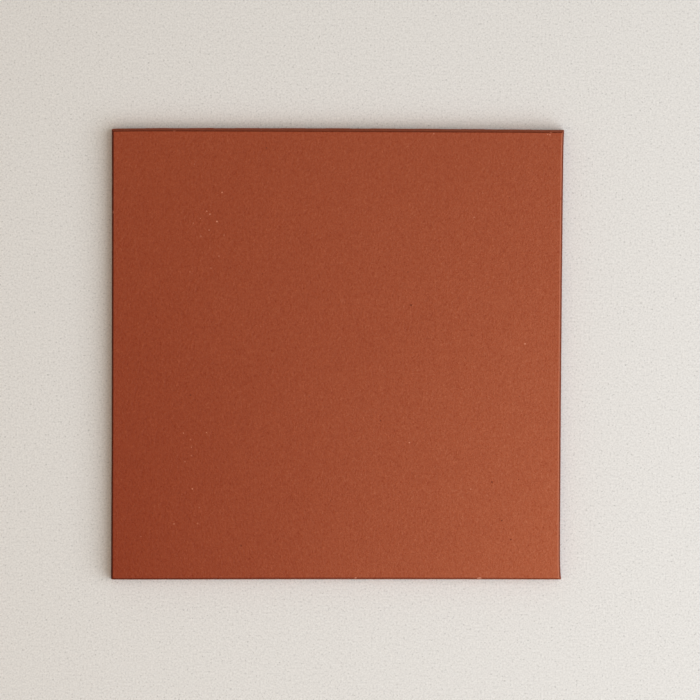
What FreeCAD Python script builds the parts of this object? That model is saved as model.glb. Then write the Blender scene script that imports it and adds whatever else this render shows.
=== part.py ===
"""Square terracotta floor tile, extruded and fired as one piece.

The bedding face lies on Z = 0 and the wear face looks up. X runs across the key grooves and
Y along them, the way the clay left the die. The origin is the middle of the bedding face.
"""

import FreeCAD
import Part
import math
import os

# Driving dimensions, in millimetres
WIDTH = 200.0  # across the grooves, at the widest line of the edges
LENGTH = 200.0  # along the grooves, at the widest line of the edges
THICKNESS = 9.0  # bedding face to wear face
EDGE_SETBACK = 0.9  # how far each edge leans in between its widest line and the wear face
ARRIS_RADIUS = 0.6  # rounding of the wear face's edges and of the four corners
FOOT_RELIEF = 0.6  # bevel round the bedding face, up to the widest line
KEY_PITCH = 20.0  # from one key groove to the next
KEY_MOUTH = 9.0  # width of a groove where it opens in the bedding face
KEY_DEPTH = 1.5  # depth of a groove
KEY_UNDERCUT = 0.5  # how far each flank leans out under the land beside it
KEY_ROOT_RADIUS = 0.5  # rounding in the two inner corners of a groove
EDGE_LAND = 5.0  # least width of the plain land outside the last groove


def frustum(inset_below, inset_above):
    """A slab as thick as the tile whose flat sides stand inside its widest line by two insets."""
    below_x = WIDTH / 2 - inset_below
    below_y = LENGTH / 2 - inset_below
    above_x = WIDTH / 2 - inset_above
    above_y = LENGTH / 2 - inset_above
    slab = Part.makeWedge(
        -below_x, 0, -below_y, -above_y, -above_x, below_x, THICKNESS, below_y, above_y, above_x
    )
    slab.rotate(FreeCAD.Vector(), FreeCAD.Vector(1, 0, 0), 90)
    return slab


def edges_at(shape, height):
    """The shape's edges that lie wholly at one height."""
    slack = THICKNESS / 1000
    return [
        edge
        for edge in shape.Edges
        if abs(edge.BoundBox.ZMin - height) < slack and abs(edge.BoundBox.ZMax - height) < slack
    ]


def blank():
    """The tile before its grooves: leaning edges, rounded arrises and a bevelled foot."""
    lean = EDGE_SETBACK / (THICKNESS - FOOT_RELIEF)
    leaning = frustum(-lean * FOOT_RELIEF, EDGE_SETBACK)
    foot_edges = edges_at(leaning, 0)
    arrises = [edge for edge in leaning.Edges if not any(edge.isSame(low) for low in foot_edges)]
    bevelled = frustum(FOOT_RELIEF, FOOT_RELIEF - THICKNESS)
    return leaning.makeFillet(ARRIS_RADIUS, arrises).common(bevelled)


def key_cutter(x):
    """The dovetail of clay that one groove leaves out, running past both ends of the tile."""
    half_mouth = KEY_MOUTH / 2
    section = [
        (-half_mouth + KEY_UNDERCUT, -KEY_DEPTH),
        (half_mouth - KEY_UNDERCUT, -KEY_DEPTH),
        (half_mouth + KEY_UNDERCUT, KEY_DEPTH),
        (-half_mouth - KEY_UNDERCUT, KEY_DEPTH),
    ]
    points = [FreeCAD.Vector(x + across, -LENGTH, up) for across, up in section]
    face = Part.Face(Part.makePolygon(points + points[:1]))
    prism = face.extrude(FreeCAD.Vector(0, 2 * LENGTH, 0))
    roots = [edge for edge in edges_at(prism, KEY_DEPTH) if edge.Length > LENGTH]
    return prism.makeFillet(KEY_ROOT_RADIUS, roots)


def key_positions():
    """Middles of the grooves: pairs either side of a land on the tile's own middle line."""
    room = WIDTH / 2 - EDGE_LAND - KEY_MOUTH / 2
    pairs = math.floor(room / KEY_PITCH + 0.5)
    right = [(i + 0.5) * KEY_PITCH for i in range(pairs)]
    return [-x for x in reversed(right)] + right


def floor_tile():
    """The finished tile, a single solid."""
    keyed = blank().cut([key_cutter(x) for x in key_positions()])
    return keyed.Solids[0]


def main():
    os.makedirs("parts", exist_ok=True)
    tile = floor_tile()
    tile.exportStep("parts/terracotta_tile.step")
    box = tile.optimalBoundingBox(False, False)
    print("size in mm:", round(box.XLength, 3), round(box.YLength, 3), round(box.ZLength, 3))
    print("volume in mm3:", round(tile.Volume, 1), "valid:", tile.isValid())


main()
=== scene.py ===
"""Looks of a square terracotta floor tile lying on a pale floor.

Lengths are in metres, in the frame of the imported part: +X is the photograph's right, +Y its top,
and Z rises from the bedding face, which lies on Z = 0. The tile's far side is the one at the
photograph's top, and its near side the one at the bottom.
"""

import math
from collections import namedtuple

import bmesh
import bpy
import numpy as np
from mathutils import Matrix, Vector, noise


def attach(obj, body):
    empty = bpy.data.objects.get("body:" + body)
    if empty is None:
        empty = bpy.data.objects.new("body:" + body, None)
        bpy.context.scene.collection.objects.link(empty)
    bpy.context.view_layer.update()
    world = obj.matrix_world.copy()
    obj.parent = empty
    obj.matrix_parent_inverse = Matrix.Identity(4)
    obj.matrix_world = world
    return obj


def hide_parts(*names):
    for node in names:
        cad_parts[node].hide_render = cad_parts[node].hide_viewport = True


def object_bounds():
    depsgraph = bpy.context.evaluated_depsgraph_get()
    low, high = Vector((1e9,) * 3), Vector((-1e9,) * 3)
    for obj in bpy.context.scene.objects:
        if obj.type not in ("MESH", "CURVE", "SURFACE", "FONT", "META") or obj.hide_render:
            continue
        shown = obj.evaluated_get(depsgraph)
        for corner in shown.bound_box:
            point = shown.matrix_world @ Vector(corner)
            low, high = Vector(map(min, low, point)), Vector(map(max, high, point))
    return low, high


MM = 0.001

# A length too small to matter, which keeps a division by nothing from failing
TINY = 1e-12

# The tile's section, the same as in its construction
EDGE_SETBACK = 0.9 * MM
ARRIS_RADIUS = 0.6 * MM
FOOT_RELIEF = 0.6 * MM
KEY_PITCH = 20 * MM
KEY_PAIRS = 5
KEY_MOUTH = 9 * MM
KEY_DEPTH = 1.5 * MM
KEY_UNDERCUT = 0.5 * MM
KEY_ROOT_RADIUS = 0.5 * MM

# How finely the mesh follows that section, how far the grooves' cutter overruns it, and the fold from
# which an edge is shaded sharp
FACE_STEP = 1.0 * MM
CORNER_STEP = 0.12 * MM
STEP_GROWTH = 1.4
CHIP_STEP = 0.25 * MM
CHIP_LINES = 6
ARRIS_STEPS = 8
WALL_STEPS = 16
WALL_CROWDING = 1.3
KEY_STEPS_ALONG = 24
KEY_ROOT_STEPS = 4
KEY_OVERRUN = 1.1
SHARP_ANGLE = math.radians(35)

# How far this tile departs from a true square with flat walls. A bow is how far the middle of a side
# lies inside the line between its corners, at the foot and at the wear face. An inset is how much
# further in the wear face ends along a whole side. The shear leans the left and right sides over, and
# the taper makes the right one shorter than the left. A flare is how far a corner of the right side
# kicks out, and a droop is how far the far or near side falls in towards its left corner. At a
# roundness of 1 a wall is flat.
FOOT_BOW = {"left": 0.17 * MM, "right": 0.17 * MM, "far": -0.36 * MM, "near": 0.08 * MM}
FACE_BOW = {"left": 0.05 * MM, "right": 0.28 * MM, "far": -0.12 * MM, "near": 0.28 * MM}
FACE_INSET = {"left": 0.0, "right": 0.22 * MM, "far": 0.03 * MM, "near": 0.28 * MM}
SHEAR = 0.34 * MM
TAPER_ALONG = -0.2 * MM
FLARE = {"far": 0.3 * MM, "near": 0.65 * MM}
FLARE_REACH = 3.5 * MM
FLARE_WIDTH = 12 * MM
DROOP = {"far": 0.28 * MM, "near": 0.14 * MM}
DROOP_REACH = 6 * MM
WALL_ROUNDNESS = 1.5

# Relief of the wear face and of the edges: its depth, the length of its bumps, and how fast they follow
# one another along X, Y and Z against that length. Waves and ripples fade out towards the face's rim.
DISH_DEPTH = 0.06 * MM
WAVE_DEPTH = 0.05 * MM
WAVE_LENGTH = 45 * MM
WAVE_RATE = (1, 0.7, 0)
RIPPLE_DEPTH = 0.012 * MM
RIPPLE_LENGTH = 6 * MM
RIPPLE_RATE = (1, 0.5, 0)
RIM_FADE = 10 * MM
EDGE_WEAR = 0.04 * MM
EDGE_WEAR_LENGTH = 6 * MM
EDGE_WEAR_RATE = (1, 1, 0.4)
DRAG_DEPTH = 0.04 * MM
DRAG_WIDTH = 1.1 * MM
DIE_LINE_RATE = (0, 0.02, 1)
WIRE_LINE_RATE = (0.5, 0, 0.08)

# Pale specks on the wear face, in millimetres: place across, place along, width, and strength up to 1
PALE_SPECKS = [
    (-50.9, 72.0, 0.7, 1.0), (-57.6, 63.7, 0.75, 0.72), (-56.2, 62.4, 0.85, 0.72),
    (-60.4, 60.5, 0.45, 1.0), (-63.6, 58.5, 0.5, 1.0), (-53.1, 59.2, 0.9, 1.0),
    (-56.6, 55.4, 0.8, 0.65), (-60.2, 52.7, 1.1, 0.3), (-50.0, 53.2, 1.2, 0.2),
    (-52.2, 44.0, 0.75, 0.55), (-55.7, 38.7, 0.9, 0.28), (-65.0, 37.0, 0.9, 0.23),
    (-63.1, 84.3, 0.9, 0.18), (-67.7, -34.2, 0.55, 0.95), (-57.4, -34.0, 0.55, 1.0),
    (-64.5, -37.1, 1.0, 0.28), (-64.1, -40.5, 0.6, 0.65), (-64.1, -44.2, 1.0, 0.28),
    (-67.0, -46.9, 0.95, 0.28), (-63.6, -59.0, 0.8, 0.82), (-60.5, -67.3, 0.8, 0.3),
    (-71.7, -74.6, 0.9, 0.43), (-61.3, -74.4, 0.9, 0.32), (-86.3, -80.1, 0.5, 0.7),
    (32.5, -38.4, 0.8, 0.8), (83.6, 5.6, 0.82, 1.0), (60.5, 61.4, 0.6, 1.0),
    (59.9, -59.1, 0.85, 0.6), (64.3, 72.0, 1.1, 0.17), (2.1, 24.7, 1.9, 0.1),
    (92.6, 98.05, 0.55, 0.9), (93.6, 97.9, 0.65, 0.9), (42.4, 98.05, 0.55, 0.8),
]

# Pinholes in the wear face, in millimetres: place across, place along, width
PINHOLES = [
    (32.8, 22.6, 1.05), (31.3, 37.2, 0.65), (-64.6, -17.3, 0.8), (-42.0, -84.4, 0.85),
    (19.6, -28.6, 0.8), (69.3, -55.9, 0.85), (81.1, -54.8, 0.55), (73.7, -73.1, 0.8),
    (77.8, -81.5, 0.8), (-31.4, 91.6, 0.8),
]

# Smaller pinholes strewn at random: their number, least and greatest width in millimetres, and the
# share of the wear face that they keep to
STRAY_PINHOLES = 120
STRAY_WIDTH = (0.25, 0.5)
STRAY_REACH = 0.96
SEED = 11

# Form of a mark: rise or depth against its width, room that it needs and floor that it has, both
# against its radius, and where its rim has points along each side of a cell
SPECK_RISE_SHARE = 0.04
PINHOLE_DEPTH_SHARE = 0.22
MARK_ROOM = 1.25
MARK_FLOOR_SHARE = 0.6
RIM_SHARES = (0.25, 0.75)
Mark = namedtuple("Mark", "x y width rise strength")

# Chips out of the arrises, in millimetres: place across, place along, radius of the bite, paleness
CHIPS = [
    (94.0, 100.0, 1.0, 0.25), (-72.0, 100.0, 0.9, 0.2), (64.0, -100.0, 2.1, 1.0),
    (9.0, -100.0, 0.9, 0.7), (100.0, 69.8, 0.8, 0.0), (-100.0, 63.4, 0.9, 0.3),
]

# A chip is bitten by a rough ball whose middle stands out from the wear face's edge and above the face.
# These and its roughness are shares of its radius. Clay bitten deeper than the rim has the chip's tone.
CHIP_STAND_OUT = 0.9
CHIP_LIFT = 0.45
CHIP_ROUGHNESS = 0.12
CHIP_GRAIN = 0.7 * MM
CHIP_RIM = 0.05 * MM
CHIP_TONE = 0.95

# Tone of the edges against the wear face, on the arris and on the wall just below it, which evens out a
# little towards the foot. Arrises and walls are darker; on the left side, turned from the window, this is
# painted shade. Over 1 the clay is blended pale, a painted highlight on the right arris, which faces the
# window. The bands in which the arris's tone, the wall's tone and the rough skin set in are shares of the
# arris radius.
EDGE_TONE_AND_PAINTED_LIGHT = {"left": (0.42, 0.24), "right": (1.43, 0.56), "far": (0.46, 1.05), "near": (0.56, 0.76)}
ARRIS_BAND = (0.075, 0.225)
WALL_BAND = (0.9, 1.0)
ROUGH_BAND = (0.4, 0.9)
FOOT_EVENNESS = 0.55

# Clay colours: the darkest and lightest, the two ends of the painted light across the wear face, the
# bedding face's own and the share of it that shows there, and those of the marks
CLAY_DARK = (0.2705, 0.0398, 0.011, 1)
CLAY_LIGHT = (0.417, 0.0994, 0.0386, 1)
CLAY_BACK = (0.42, 0.16, 0.085, 1)
BACK_SHARE = 0.35
MARK_COLOURS = {
    "pale": (0.64, 0.247, 0.148, 1),
    # Pinholes are coloured darker as painted shade in the pits
    "pinhole_shade": (0.21, 0.042, 0.017, 1),
    "chip": (0.62, 0.28, 0.19, 1),
}

# Painted light: the clay is painted lighter from left to right, towards the window at the near right, in
# place of the light's falloff and sheen across the face. The fan is how much faster it does so along the
# near side than across the middle, and the lean is how much it favours the near side.
PAINTED_LIGHT_FAN = 0.58
PAINTED_LIGHT_LEAN = 0.14

# Powers by which green and blue follow a tone, in the grain and on the edges
GRAIN_POWERS = (2.3, 3.5)
EDGE_POWERS = (1.3, 1.5)

# Grain of the clay: length of the bumps, layers of detail, and stretch along X, Y and Z
GRAINS = {
    "cloud": (50 * MM, 3),
    "mottle": (7 * MM, 3),
    "streaks": (2 * MM, 2, (1.0, 25.0, 1.0)),
    "peel": (0.85 * MM, 2, (0.92, 1.22, 1.0)),
    "pores": (0.5 * MM, 1),
    "die_lines": (0.8 * MM, 3, (1.0, 40.0, 1.0)),
    "wire_lines": (0.8 * MM, 3, (1.0, 1.0, 15.0)),
}

# How much these grains, the grit and lines made from them, and the rubbed clay of the edges and the back
# sway the tone, the height in millimetres and the roughness
TONE_SWAY = {
    "cloud": 0.045, "mottle": 0.06, "streaks": 0.02, "peel": 0.285,
    "grit": 5.8, "pores": 0.39, "lines": 0.24,
}
HEIGHT_SWAY = {"peel": 0.27, "pores": 0.04, "lines": 0.2}
ROUGHNESS_SWAY = {"mottle": 0.12, "rubbed": 0.5}
CLAY_ROUGHNESS = 0.45
CLAY_SPECULAR = 0.145

# The floor, a hair below the tile so that their faces don't meet, with a fine grain and darker spots
FLOOR_REACH = 3.0
FLOOR_DROP = 0.02 * MM
FLOOR_COLOUR = (0.777, 0.777, 0.770, 1)
FLOOR_ROUGHNESS = 0.7
FLOOR_SPECULAR = 0.2
FLOOR_GRAIN = (0.8 * MM, 2)
FLOOR_SWAY = 0.5
SPOT_GRAIN = (0.95 * MM, 1)
SPOT_BAND = (0.6, 0.85)
SPOT_DEPTH = 0.35

# Soft square lamps aimed at the tile: name, place, side, power and colour. The window is to the right
# and a little in front, and the warm lamp to the left.
LAMPS = [
    ("window", (0.595, -0.23, 0.854), 1.18, 9.6, (0.862, 0.931, 1.0)),
    ("overhead", (0.14, -0.04, 1.6), 1.3, 4.25, (0.985, 0.885, 0.735)),
    ("warm_side", (-0.45, -0.25, 1.1), 0.6, 1.1, (1.0, 0.5, 0.2)),
]
FILL_COLOUR = (1.0, 0.885, 0.735, 1)
FILL_STRENGTH = 0.33

# Camera: a long lens almost straight above, aimed a little off the tile's middle
LENS_MM = 206.1
SENSOR_MM = 36.0
CAMERA_AT = Vector((0.00046, 0.107, 1.7685))
CAMERA_AIM = Vector((0.00577, 0.00208, 0.0))
CAMERA_ROLL = math.radians(0.108)

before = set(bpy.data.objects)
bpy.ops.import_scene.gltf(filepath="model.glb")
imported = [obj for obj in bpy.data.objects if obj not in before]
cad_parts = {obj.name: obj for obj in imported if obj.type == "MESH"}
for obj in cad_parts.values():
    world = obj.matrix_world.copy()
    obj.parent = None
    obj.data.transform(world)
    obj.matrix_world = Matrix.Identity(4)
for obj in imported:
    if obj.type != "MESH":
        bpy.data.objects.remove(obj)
cad_low, cad_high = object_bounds()
HALF = (cad_high.x - cad_low.x) / 2
THICKNESS = cad_high.z - cad_low.z
LEAN = EDGE_SETBACK / (THICKNESS - FOOT_RELIEF)


def edge_profile():
    """Offsets and heights of rings from the flat face over the arris, down the wall and under the foot."""
    turn = math.pi / 2 - math.atan(LEAN)
    rings = []
    for i in range(1, ARRIS_STEPS + 1):
        angle = turn * i / ARRIS_STEPS
        drop = ARRIS_RADIUS * (1 - math.cos(angle))
        rings.append((ARRIS_RADIUS * math.sin(angle), THICKNESS - drop))
    top_offset, top_height = rings[-1]
    wall = top_height - FOOT_RELIEF
    for i in range(1, WALL_STEPS + 1):
        up = 1 - (i / WALL_STEPS) ** WALL_CROWDING
        rings.append((top_offset + LEAN * wall * (1 - up**WALL_ROUNDNESS), FOOT_RELIEF + wall * up))
    rings.append((rings[-1][0] - FOOT_RELIEF, 0.0))
    return rings


RINGS = edge_profile()
FACE_HALF = HALF - RINGS[-2][0]


def grid_lines(fine_places):
    """Grid lines across the flat face, close together at both ends and round each fine place."""
    gaps = []
    step = CORNER_STEP
    while step < FACE_STEP:
        gaps.append(step)
        step *= STEP_GROWTH
    ends = np.cumsum([0.0] + gaps) - FACE_HALF
    count = math.ceil(-2 * ends[-1] / FACE_STEP)
    middle = np.linspace(ends[-1], -ends[-1], count + 1)
    lines = np.concatenate([ends[:-1], middle, -ends[-2::-1]])
    for place in fine_places:
        fine = place + CHIP_STEP * np.arange(-CHIP_LINES, CHIP_LINES + 1)
        clear = (lines < fine[0] - CHIP_STEP / 2) | (lines > fine[-1] + CHIP_STEP / 2)
        lines = np.sort(np.concatenate([lines[clear], fine]))
    return lines


def rounded(points, half, radius):
    """Points on a square's outline, moved onto the same outline with rounded corners."""
    core = half - radius
    inner = np.clip(points, -core, core)
    out = points - inner
    reach = np.linalg.norm(out, axis=1, keepdims=True)
    in_corner = (np.abs(out) > 0).all(axis=1, keepdims=True)
    return np.where(in_corner, inner + radius * out / np.maximum(reach, TINY), points)


def block_outline(across, left, right, near, far):
    """The grid's points round a block of cells, in order, where a row has so many points across."""
    near_row = [near * across + i for i in range(left, right)]
    right_row = [j * across + right for j in range(near, far)]
    far_row = [far * across + i for i in range(right, left, -1)]
    left_row = [j * across + left for j in range(far, near, -1)]
    return near_row + right_row + far_row + left_row


def stamp(points, cells, lines_x, lines_y, mark):
    """Puts a small round mark into the flat face in place of the cells under it, if they are all there."""
    radius = mark.width / 2
    room = radius * MARK_ROOM
    left = int(np.searchsorted(lines_x, mark.x - room)) - 1
    right = int(np.searchsorted(lines_x, mark.x + room))
    near = int(np.searchsorted(lines_y, mark.y - room)) - 1
    far = int(np.searchsorted(lines_y, mark.y + room))
    block = [(i, j) for i in range(left, right) for j in range(near, far)]
    if not all(cell in cells for cell in block):
        return False
    for cell in block:
        del cells[cell]
    outline = block_outline(len(lines_x), left, right, near, far)
    sides = list(zip(outline, outline[1:] + outline[:1]))
    centre = np.array([mark.x, mark.y])
    directions = []
    for start, end in sides:
        for share in RIM_SHARES:
            on_side = np.array(points[start][:2]) * (1 - share) + np.array(points[end][:2]) * share
            out = on_side - centre
            directions.append(out / np.linalg.norm(out))
    size = len(directions)
    rim = len(points)
    floor = rim + size
    middle = floor + size
    for share, height in ((1.0, 0.0), (MARK_FLOOR_SHARE, mark.rise)):
        points += [(*(centre + out * radius * share), THICKNESS + height) for out in directions]
    points.append((mark.x, mark.y, THICKNESS + mark.rise))
    for k, (start, end) in enumerate(sides):
        cells[(rim, 2 * k)] = (start, end, rim + 2 * k + 1, rim + 2 * k)
        cells[(rim, 2 * k + 1)] = (end, rim + (2 * k + 2) % size, rim + 2 * k + 1)
    for k in range(size):
        after = (k + 1) % size
        cells[(floor, k)] = (rim + k, rim + after, floor + after, floor + k)
        cells[(middle, k)] = (floor + k, floor + after, middle)
    return True


def all_marks():
    """Every mark on the wear face, first those that the photograph shows and then the strays."""
    specks = [(x, y, width, width * SPECK_RISE_SHARE, strength) for x, y, width, strength in PALE_SPECKS]
    pinholes = [(x, y, width, -width * PINHOLE_DEPTH_SHARE, 1.0) for x, y, width in PINHOLES]
    strays = []
    reach = FACE_HALF / MM * STRAY_REACH
    least, greatest = STRAY_WIDTH
    draw = np.random.default_rng(SEED)
    for x, y, pick in draw.random((STRAY_PINHOLES, 3)):
        width = least + (greatest - least) * pick
        place = (reach * (2 * x - 1), reach * (2 * y - 1))
        strays.append((*place, width, -width * PINHOLE_DEPTH_SHARE, 1.0))
    marks = specks + pinholes + strays
    return [Mark(x * MM, y * MM, width * MM, rise * MM, strength) for x, y, width, rise, strength in marks]


def blank_mesh(marks):
    """The tile without its grooves, as points and faces, and the marks that found room on it."""
    lines_x = grid_lines([x * MM for x, y, *_ in CHIPS if abs(y) > abs(x)])
    lines_y = grid_lines([y * MM for x, y, *_ in CHIPS if abs(x) > abs(y)])
    across = len(lines_x)
    columns, rows = len(lines_x) - 1, len(lines_y) - 1
    points = [(x, y, THICKNESS) for y in lines_y for x in lines_x]
    cells = {}
    for j in range(rows):
        for i in range(columns):
            first = j * across + i
            cells[(i, j)] = (first, first + 1, first + across + 1, first + across)
    loop = block_outline(across, 0, columns, 0, rows)
    outline = np.array([points[i][:2] for i in loop]) / FACE_HALF
    placed = [mark for mark in marks if stamp(points, cells, lines_x, lines_y, mark)]
    faces = list(cells.values())
    for offset, height in RINGS:
        half = FACE_HALF + offset
        plan = rounded(outline * half, half, min(offset, ARRIS_RADIUS))
        below = list(range(len(points), len(points) + len(loop)))
        points += [(x, y, height) for x, y in plan]
        for i in range(len(loop)):
            k = (i + 1) % len(loop)
            faces.append((loop[k], loop[i], below[i], below[k]))
        loop = below
    faces.append(tuple(reversed(loop)))
    return points, faces, placed


def key_section():
    """Outline of one groove's dovetail in X and Z, about its own middle, with rounded roots."""
    half_mouth = KEY_MOUTH / 2
    flank = math.atan2(KEY_DEPTH, KEY_UNDERCUT)
    tangent = KEY_ROOT_RADIUS / math.tan(flank / 2)
    centre = Vector((half_mouth + KEY_UNDERCUT - tangent, KEY_DEPTH - KEY_ROOT_RADIUS))
    side = [(half_mouth - KEY_UNDERCUT, -KEY_DEPTH)]
    for i in range(KEY_ROOT_STEPS + 1):
        angle = flank - math.pi / 2 + (math.pi - flank) * i / KEY_ROOT_STEPS
        x = centre.x + KEY_ROOT_RADIUS * math.cos(angle)
        z = centre.y + KEY_ROOT_RADIUS * math.sin(angle)
        side.append((x, z))
    return side + [(-x, z) for x, z in reversed(side)]


def key_cutter():
    """All the grooves as one object, each a closed dovetail running past both ends of the tile."""
    section = key_section()
    size = len(section)
    reach = HALF * KEY_OVERRUN
    points = []
    faces = []
    for k in range(-KEY_PAIRS, KEY_PAIRS):
        x = (k + 0.5) * KEY_PITCH
        start = len(points)
        for j in range(KEY_STEPS_ALONG + 1):
            y = -reach + 2 * reach * j / KEY_STEPS_ALONG
            points += [(x + across, y, up) for across, up in section]
        for j in range(KEY_STEPS_ALONG):
            ring = start + j * size
            for i in range(size):
                after = (i + 1) % size
                faces.append((ring + i, ring + after, ring + size + after, ring + size + i))
        faces.append(tuple(start + i for i in reversed(range(size))))
        faces.append(tuple(start + KEY_STEPS_ALONG * size + i for i in range(size)))
    return mesh_object("key_cutter", points, faces)


def mesh_object(name, points, faces):
    """A new object without loose points and with its normals facing out."""
    mesh = bpy.data.meshes.new(name)
    mesh.from_pydata(points, [], faces)
    work = bmesh.new()
    work.from_mesh(mesh)
    loose = [point for point in work.verts if not point.link_faces]
    bmesh.ops.delete(work, geom=loose, context="VERTS")
    bmesh.ops.recalc_face_normals(work, faces=work.faces)
    work.to_mesh(mesh)
    work.free()
    made = bpy.data.objects.new(name, mesh)
    bpy.context.scene.collection.objects.link(made)
    return made


def cut_keys(tile):
    """Takes the grooves out of the tile's back and drops the cutter."""
    cutter = key_cutter()
    cut = tile.modifiers.new("keys", "BOOLEAN")
    cut.object = cutter
    cut.operation = "DIFFERENCE"
    cut.solver = "EXACT"
    bpy.context.view_layer.update()
    evaluated = tile.evaluated_get(bpy.context.evaluated_depsgraph_get())
    mesh = bpy.data.meshes.new_from_object(evaluated)
    tile.modifiers.clear()
    tile.data = mesh
    bpy.data.objects.remove(cutter)


def read_points(mesh):
    """The mesh's points as rows of x, y, z."""
    flat = np.empty(len(mesh.vertices) * 3)
    mesh.vertices.foreach_get("co", flat)
    return flat.reshape(-1, 3)


def on_left_or_right(points):
    """Whether each point is nearer to the left or right side than to the far or near one."""
    return np.abs(points[:, 0]) > np.abs(points[:, 1])


def ramp(values, start, end):
    """Each value as 0 up to the start, 1 from the end on, and in proportion between them."""
    return np.clip((values - start) / (end - start), 0, 1)


def noise_of(points, length, rate=(1, 1, 1)):
    """Smooth noise from -1 to 1 at each point, with bumps of the length at a rate of 1 along each axis."""
    scaled = points * np.array(rate) / length
    return np.array([noise.noise(Vector(place)) for place in scaled])


def uneven(points, depth, length, rate):
    """A depth at each point that wanders between 0 and the given one."""
    return depth * (0.5 + 0.5 * noise_of(points, length, rate))


def bite_chips(points):
    """Moves the points inside each chip's rough ball onto it.

    Gives the points, how broken each one is and how pale.
    """
    moved = points.copy()
    broken = np.zeros(len(points))
    pale = np.zeros(len(points))
    for x, y, radius_mm, paleness in CHIPS:
        radius = radius_mm * MM
        axis = int(abs(y) > abs(x))
        centre = np.array([x * MM, y * MM, THICKNESS + radius * CHIP_LIFT])
        centre[axis] = math.copysign(FACE_HALF + radius * CHIP_STAND_OUT, centre[axis])
        distance = np.linalg.norm(points - centre, axis=1)
        close = np.nonzero(distance < radius * (1 + CHIP_ROUGHNESS))[0]
        out = points[close] - centre
        reach = np.linalg.norm(out, axis=1, keepdims=True)
        ball = radius * (1 + CHIP_ROUGHNESS * noise_of(points[close], CHIP_GRAIN)[:, None])
        moved[close] = centre + out / reach * np.maximum(reach, ball)
        broken[close] = np.clip((ball - reach) / CHIP_RIM, 0, 1)[:, 0]
        pale[close] = paleness * broken[close]
    return moved, broken, pale


def out_of_square(points):
    """The true square's points with this tile's bows, skew and corners, fitted to the frame's box."""
    x, y, z = points.T
    across, along, rise = x / HALF, y / HALF, z / THICKNESS

    def pull(side, place):
        bow = FOOT_BOW[side] + (FACE_BOW[side] - FOOT_BOW[side]) * rise
        return bow * (1 - place**2) + FACE_INSET[side] * rise

    pull_x = np.where(across > 0, pull("right", along), pull("left", along))
    pull_y = np.where(along > 0, pull("far", across), pull("near", across))
    flare = np.where(along > 0, FLARE["far"], FLARE["near"]) * np.exp((np.abs(y) - HALF) / FLARE_REACH)
    flare *= ramp(x, HALF - FLARE_WIDTH, HALF)
    droop = np.where(along > 0, DROOP["far"], DROOP["near"]) * np.exp(-(HALF + x) / DROOP_REACH)
    moved = points.copy()
    moved[:, 0] += -across * pull_x + SHEAR * along + flare
    moved[:, 1] += -along * (pull_y + droop) + TAPER_ALONG * across * along
    for axis in (0, 1):
        low, high = moved[:, axis].min(), moved[:, axis].max()
        moved[:, axis] = (moved[:, axis] - (low + high) / 2) * 2 * HALF / (high - low)
    return moved


def wear(points, beyond):
    """How far each point sinks, on an uneven wear face, and draws in, on worn and dragged edges."""
    across, along = points[:, 0] / HALF, points[:, 1] / HALF
    dish = DISH_DEPTH * (1 - across**2) * (1 - along**2)
    waves = uneven(points, WAVE_DEPTH, WAVE_LENGTH, WAVE_RATE)
    ripples = uneven(points, RIPPLE_DEPTH, RIPPLE_LENGTH, RIPPLE_RATE)
    inside = ramp(-beyond, 0, RIM_FADE)
    upper = ramp(points[:, 2], THICKNESS / 2, THICKNESS)
    sink = upper * (dish + (waves + ripples) * inside)
    worn = uneven(points, EDGE_WEAR, EDGE_WEAR_LENGTH, EDGE_WEAR_RATE)
    die_lines = uneven(points, DRAG_DEPTH, DRAG_WIDTH, DIE_LINE_RATE)
    wire_lines = uneven(points, DRAG_DEPTH, DRAG_WIDTH, WIRE_LINE_RATE)
    worn += np.where(on_left_or_right(points), die_lines, wire_lines)
    return sink, worn * ramp(beyond, 0, ARRIS_RADIUS)


def mark_share(points, marks):
    """How much of a mark's colour each point has, from 0 at a mark's rim to its strength inside."""
    share = np.zeros(len(points))
    top = np.nonzero(points[:, 2] > THICKNESS - ARRIS_RADIUS)[0]
    plan = points[top, :2]
    for mark in marks:
        centre = (mark.x, mark.y)
        close = (np.abs(plan - centre) < mark.width).all(axis=1)
        reach = np.linalg.norm(plan[close] - centre, axis=1) / (mark.width / 2)
        inside = np.clip((1 - reach) / (1 - MARK_FLOOR_SHARE), 0, 1)
        share[top[close]] = np.maximum(share[top[close]], mark.strength * inside)
    return share


def edge_tone_and_painted_light(points, beyond):
    """Tone of each point's clay by the side and band of its edge, with painted shade and a painted
    highlight.
    """
    arris = ramp(beyond / ARRIS_RADIUS, *ARRIS_BAND)
    wall = ramp(beyond / ARRIS_RADIUS, *WALL_BAND)
    left_or_right = np.where(points[:, 0] > 0, "right", "left")
    far_or_near = np.where(points[:, 1] > 0, "far", "near")
    sides = np.where(on_left_or_right(points), left_or_right, far_or_near)
    fade = 1 - FOOT_EVENNESS * (1 - points[:, 2] / THICKNESS)
    tone = np.ones(len(points))
    for side, (arris_tone, wall_tone) in EDGE_TONE_AND_PAINTED_LIGHT.items():
        here = sides == side
        tone[here] += (arris * (1 - wall) * (arris_tone - 1) + wall * fade * (wall_tone - 1))[here]
    return tone


def store(mesh, name, values):
    """Keeps one number for each point, for the material to read."""
    layer = mesh.attributes.new(name, "FLOAT", "POINT")
    layer.data.foreach_set("value", values.astype(np.float32))


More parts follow.
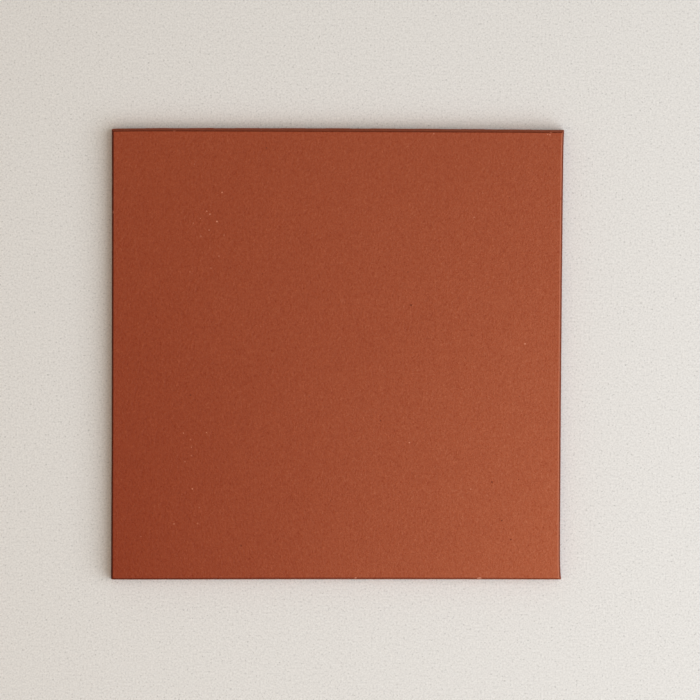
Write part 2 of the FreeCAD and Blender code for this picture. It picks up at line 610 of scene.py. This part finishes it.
def make_tile():
    """The finished tile mesh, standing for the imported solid."""
    blank, faces, marks = blank_mesh(all_marks())
    tile = mesh_object("tile", blank, faces)
    cut_keys(tile)
    mesh = tile.data
    points = read_points(mesh)
    beyond = np.abs(points[:, :2]).max(axis=1) - FACE_HALF
    bitten, broken, chip_pale = bite_chips(points)
    moved = out_of_square(bitten)
    sink, worn = wear(points, beyond)
    moved[:, 2] = np.minimum(moved[:, 2] - sink, THICKNESS)
    left_or_right = on_left_or_right(points)
    for axis, chosen in ((0, left_or_right), (1, ~left_or_right)):
        moved[:, axis] -= np.where(chosen, np.sign(points[:, axis]) * worn, 0)
    mesh.vertices.foreach_set("co", moved.ravel())
    mesh.update()

    tone = edge_tone_and_painted_light(points, beyond)
    tone += broken * (CHIP_TONE - tone)
    back = 1 - ramp(points[:, 2], KEY_DEPTH, KEY_DEPTH + FOOT_RELIEF)
    specks = mark_share(points, [mark for mark in marks if mark.rise > 0])
    pinholes = mark_share(points, [mark for mark in marks if mark.rise < 0])
    store(mesh, "edge", ramp(beyond / ARRIS_RADIUS, *ROUGH_BAND))
    store(mesh, "end", np.where(left_or_right, 0, 1))
    # Edge tone under 1: darker arrises and walls, painted shade on the left side
    store(mesh, "tone", np.minimum(tone, 1))
    store(mesh, "back", back * (beyond < ARRIS_RADIUS))
    store(mesh, "chip", chip_pale)
    # Edge tone over 1 turns towards the pale mark colour: a painted highlight on the right arris
    store(mesh, "pale", np.maximum(specks, tone - 1))
    # Pinholes darkened as painted shade in the pits
    store(mesh, "pinhole_shade", pinholes)
    mesh.polygons.foreach_set("use_smooth", [True] * len(mesh.polygons))
    mesh.set_sharp_from_angle(angle=SHARP_ANGLE)
    return tile


def new_material(name):
    """A new material: itself, its node tree and its one plain shader."""
    material = bpy.data.materials.new(name)
    material.use_nodes = True
    tree = material.node_tree
    return material, tree, tree.nodes["Principled BSDF"]


def node(tree, kind, inputs, **settings):
    """A new node with its settings made and its inputs set or joined."""
    made = tree.nodes.new(kind)
    for name, value in settings.items():
        setattr(made, name, value)
    for name, value in inputs.items():
        if isinstance(value, bpy.types.NodeSocket):
            tree.links.new(value, made.inputs[name])
        else:
            made.inputs[name].default_value = value
    return made


def math_node(tree, operation, a, b, c=0.0):
    """The result of one sum on numbers or sockets."""
    return node(tree, "ShaderNodeMath", {0: a, 1: b, 2: c}, operation=operation).outputs["Value"]


def kept(tree, name):
    """One of the numbers that the mesh keeps at its points."""
    return node(tree, "ShaderNodeAttribute", {}, attribute_name=name).outputs["Fac"]


def place_on_object(tree):
    """The place on the object that is being shaded."""
    return node(tree, "ShaderNodeTexCoord", {}).outputs["Object"]


def grain(tree, length, detail, stretch=(1.0, 1.0, 1.0)):
    """Noise from about 0 to 1 whose bumps are the length long, times the stretch along each axis."""
    scale = [1 / (length * times) for times in stretch]
    placed = node(tree, "ShaderNodeMapping", {"Vector": place_on_object(tree), "Scale": scale})
    inputs = {"Vector": placed.outputs["Vector"], "Scale": 1.0, "Detail": detail}
    return node(tree, "ShaderNodeTexNoise", inputs).outputs["Fac"]


def sway(tree, length, detail, stretch=(1.0, 1.0, 1.0)):
    """The same noise about its middle, from about -0.5 to 0.5."""
    return math_node(tree, "SUBTRACT", grain(tree, length, detail, stretch), 0.5)


def swayed(tree, base, sways, amounts):
    """The base plus each sway that the amounts name, times its amount."""
    total = base
    for name, amount in amounts.items():
        total = math_node(tree, "MULTIPLY_ADD", sways[name], amount, total)
    return total


def blend(tree, share, a, b, how="MIX"):
    """Two colours blended by a share."""
    made = node(tree, "ShaderNodeMix", {}, data_type="RGBA", blend_type=how)
    sockets = {socket.identifier: socket for socket in [*made.inputs, *made.outputs]}
    for name, value in (("Factor_Float", share), ("A_Color", a), ("B_Color", b)):
        if isinstance(value, bpy.types.NodeSocket):
            tree.links.new(value, sockets[name])
        else:
            sockets[name].default_value = value
    return sockets["Result_Color"]


def shade(tree, tone, green_power, blue_power):
    """A tone as a colour that turns redder as it darkens and paler as it lightens."""
    green = math_node(tree, "POWER", tone, green_power)
    blue = math_node(tree, "POWER", tone, blue_power)
    parts = {"Red": tone, "Green": green, "Blue": blue}
    return node(tree, "ShaderNodeCombineColor", parts).outputs["Color"]


def painted_light_share(tree):
    """How much painted light the clay has, from 0 at the near left corner to 1 at the near right one."""
    place = node(tree, "ShaderNodeSeparateXYZ", {"Vector": place_on_object(tree)})
    across, along = place.outputs["X"], place.outputs["Y"]
    fan = math_node(tree, "MULTIPLY_ADD", along, -PAINTED_LIGHT_FAN / HALF, 1.0)
    reach = math_node(tree, "MULTIPLY", across, fan)
    reach = math_node(tree, "MULTIPLY_ADD", along, -PAINTED_LIGHT_LEAN, reach)
    dark_end = (PAINTED_LIGHT_LEAN - (1 + PAINTED_LIGHT_FAN)) * HALF
    light_end = (PAINTED_LIGHT_LEAN + (1 + PAINTED_LIGHT_FAN)) * HALF
    spread = {"Value": reach, "From Min": dark_end, "From Max": light_end}
    return node(tree, "ShaderNodeMapRange", spread).outputs["Result"]


def clay_material():
    """Fired red-brown clay, softly mottled, with an orange-peel skin, rougher edges and painted light and
    shade.
    """
    material, tree, shader = new_material("terracotta_clay")
    back = kept(tree, "back")
    sways = {name: sway(tree, *form) for name, form in GRAINS.items()}
    peel = sways["peel"]
    sways["grit"] = math_node(tree, "MULTIPLY", peel, math_node(tree, "MULTIPLY", peel, peel))
    sways["rubbed"] = math_node(tree, "MAXIMUM", kept(tree, "edge"), back)
    die_or_wire = {"Factor": kept(tree, "end"), "A": sways["die_lines"], "B": sways["wire_lines"]}
    lines = node(tree, "ShaderNodeMix", die_or_wire).outputs["Result"]
    sways["lines"] = math_node(tree, "MULTIPLY", lines, sways["rubbed"])

    tone = swayed(tree, 1.0, sways, TONE_SWAY)
    # Painted light and sheen: the clay is painted lighter towards the window at the near right
    colour = blend(tree, painted_light_share(tree), CLAY_DARK, CLAY_LIGHT)
    colour = blend(tree, 1.0, colour, shade(tree, tone, *GRAIN_POWERS), "MULTIPLY")
    # Darker edges, with painted shade on the left side
    colour = blend(tree, 1.0, colour, shade(tree, kept(tree, "tone"), *EDGE_POWERS), "MULTIPLY")
    colour = blend(tree, back, colour, blend(tree, BACK_SHARE, colour, CLAY_BACK))
    for name, mark_colour in MARK_COLOURS.items():
        colour = blend(tree, kept(tree, name), colour, mark_colour)
    tree.links.new(colour, shader.inputs["Base Color"])

    rough = swayed(tree, CLAY_ROUGHNESS, sways, ROUGHNESS_SWAY)
    tree.links.new(rough, shader.inputs["Roughness"])
    shader.inputs["Specular IOR Level"].default_value = CLAY_SPECULAR

    relief = swayed(tree, 0.0, sways, HEIGHT_SWAY)
    bump = node(tree, "ShaderNodeBump", {"Strength": 1.0, "Distance": MM, "Height": relief})
    tree.links.new(bump.outputs["Normal"], shader.inputs["Normal"])
    return material


def make_floor():
    """A plain pale surface under the tile."""
    plan = [(-1, -1), (1, -1), (1, 1), (-1, 1)]
    corners = [(x * FLOOR_REACH, y * FLOOR_REACH, -FLOOR_DROP) for x, y in plan]
    floor = mesh_object("floor", corners, [(0, 1, 2, 3)])
    material, tree, shader = new_material("pale_floor")
    tone = math_node(tree, "MULTIPLY_ADD", sway(tree, *FLOOR_GRAIN), FLOOR_SWAY, 1.0)
    start, end = SPOT_BAND
    band = {"Value": grain(tree, *SPOT_GRAIN), "From Min": start, "From Max": end, "To Max": SPOT_DEPTH}
    spots = node(tree, "ShaderNodeMapRange", band).outputs["Result"]
    tone = math_node(tree, "SUBTRACT", tone, spots)
    colour = blend(tree, 1.0, FLOOR_COLOUR, tone, "MULTIPLY")
    tree.links.new(colour, shader.inputs["Base Color"])
    shader.inputs["Roughness"].default_value = FLOOR_ROUGHNESS
    shader.inputs["Specular IOR Level"].default_value = FLOOR_SPECULAR
    floor.data.materials.append(material)


def make_lamp(name, at, size, power, colour):
    """A soft square lamp aimed at the tile."""
    data = bpy.data.lights.new(name, "AREA")
    data.shape = "SQUARE"
    data.size = size
    data.energy = power
    data.color = colour
    lamp = bpy.data.objects.new(name, data)
    lamp.location = at
    lamp.rotation_mode = "QUATERNION"
    lamp.rotation_quaternion = (-Vector(at)).to_track_quat("-Z", "Y")
    lamp.visible_camera = False
    bpy.context.scene.collection.objects.link(lamp)


def make_light():
    """The lamps and an even, slightly warm fill."""
    for lamp in LAMPS:
        make_lamp(*lamp)
    world = bpy.data.worlds.new("fill")
    world.use_nodes = True
    background = world.node_tree.nodes["Background"]
    background.inputs["Color"].default_value = FILL_COLOUR
    background.inputs["Strength"].default_value = FILL_STRENGTH
    bpy.context.scene.world = world


def make_camera():
    """The photograph's viewpoint."""
    data = bpy.data.cameras.new("camera")
    data.lens = LENS_MM
    data.sensor_width = SENSOR_MM
    camera = bpy.data.objects.new("camera", data)
    forward = (CAMERA_AIM - CAMERA_AT).normalized()
    right = forward.cross(Vector((0, 1, 0))).normalized()
    up = right.cross(forward)
    turned_right = right * math.cos(CAMERA_ROLL) + up * math.sin(CAMERA_ROLL)
    turned_up = up * math.cos(CAMERA_ROLL) - right * math.sin(CAMERA_ROLL)
    turn = Matrix((turned_right, turned_up, -forward)).transposed()
    camera.matrix_world = Matrix.Translation(CAMERA_AT) @ turn.to_4x4()
    bpy.context.scene.collection.objects.link(camera)
    bpy.context.scene.camera = camera


make_camera()
tile = make_tile()
tile.data.materials.clear()
tile.data.materials.append(clay_material())
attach(tile, "root")
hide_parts("terracotta_tile")
make_floor()
make_light()
bpy.context.scene.view_settings.view_transform = "Standard"
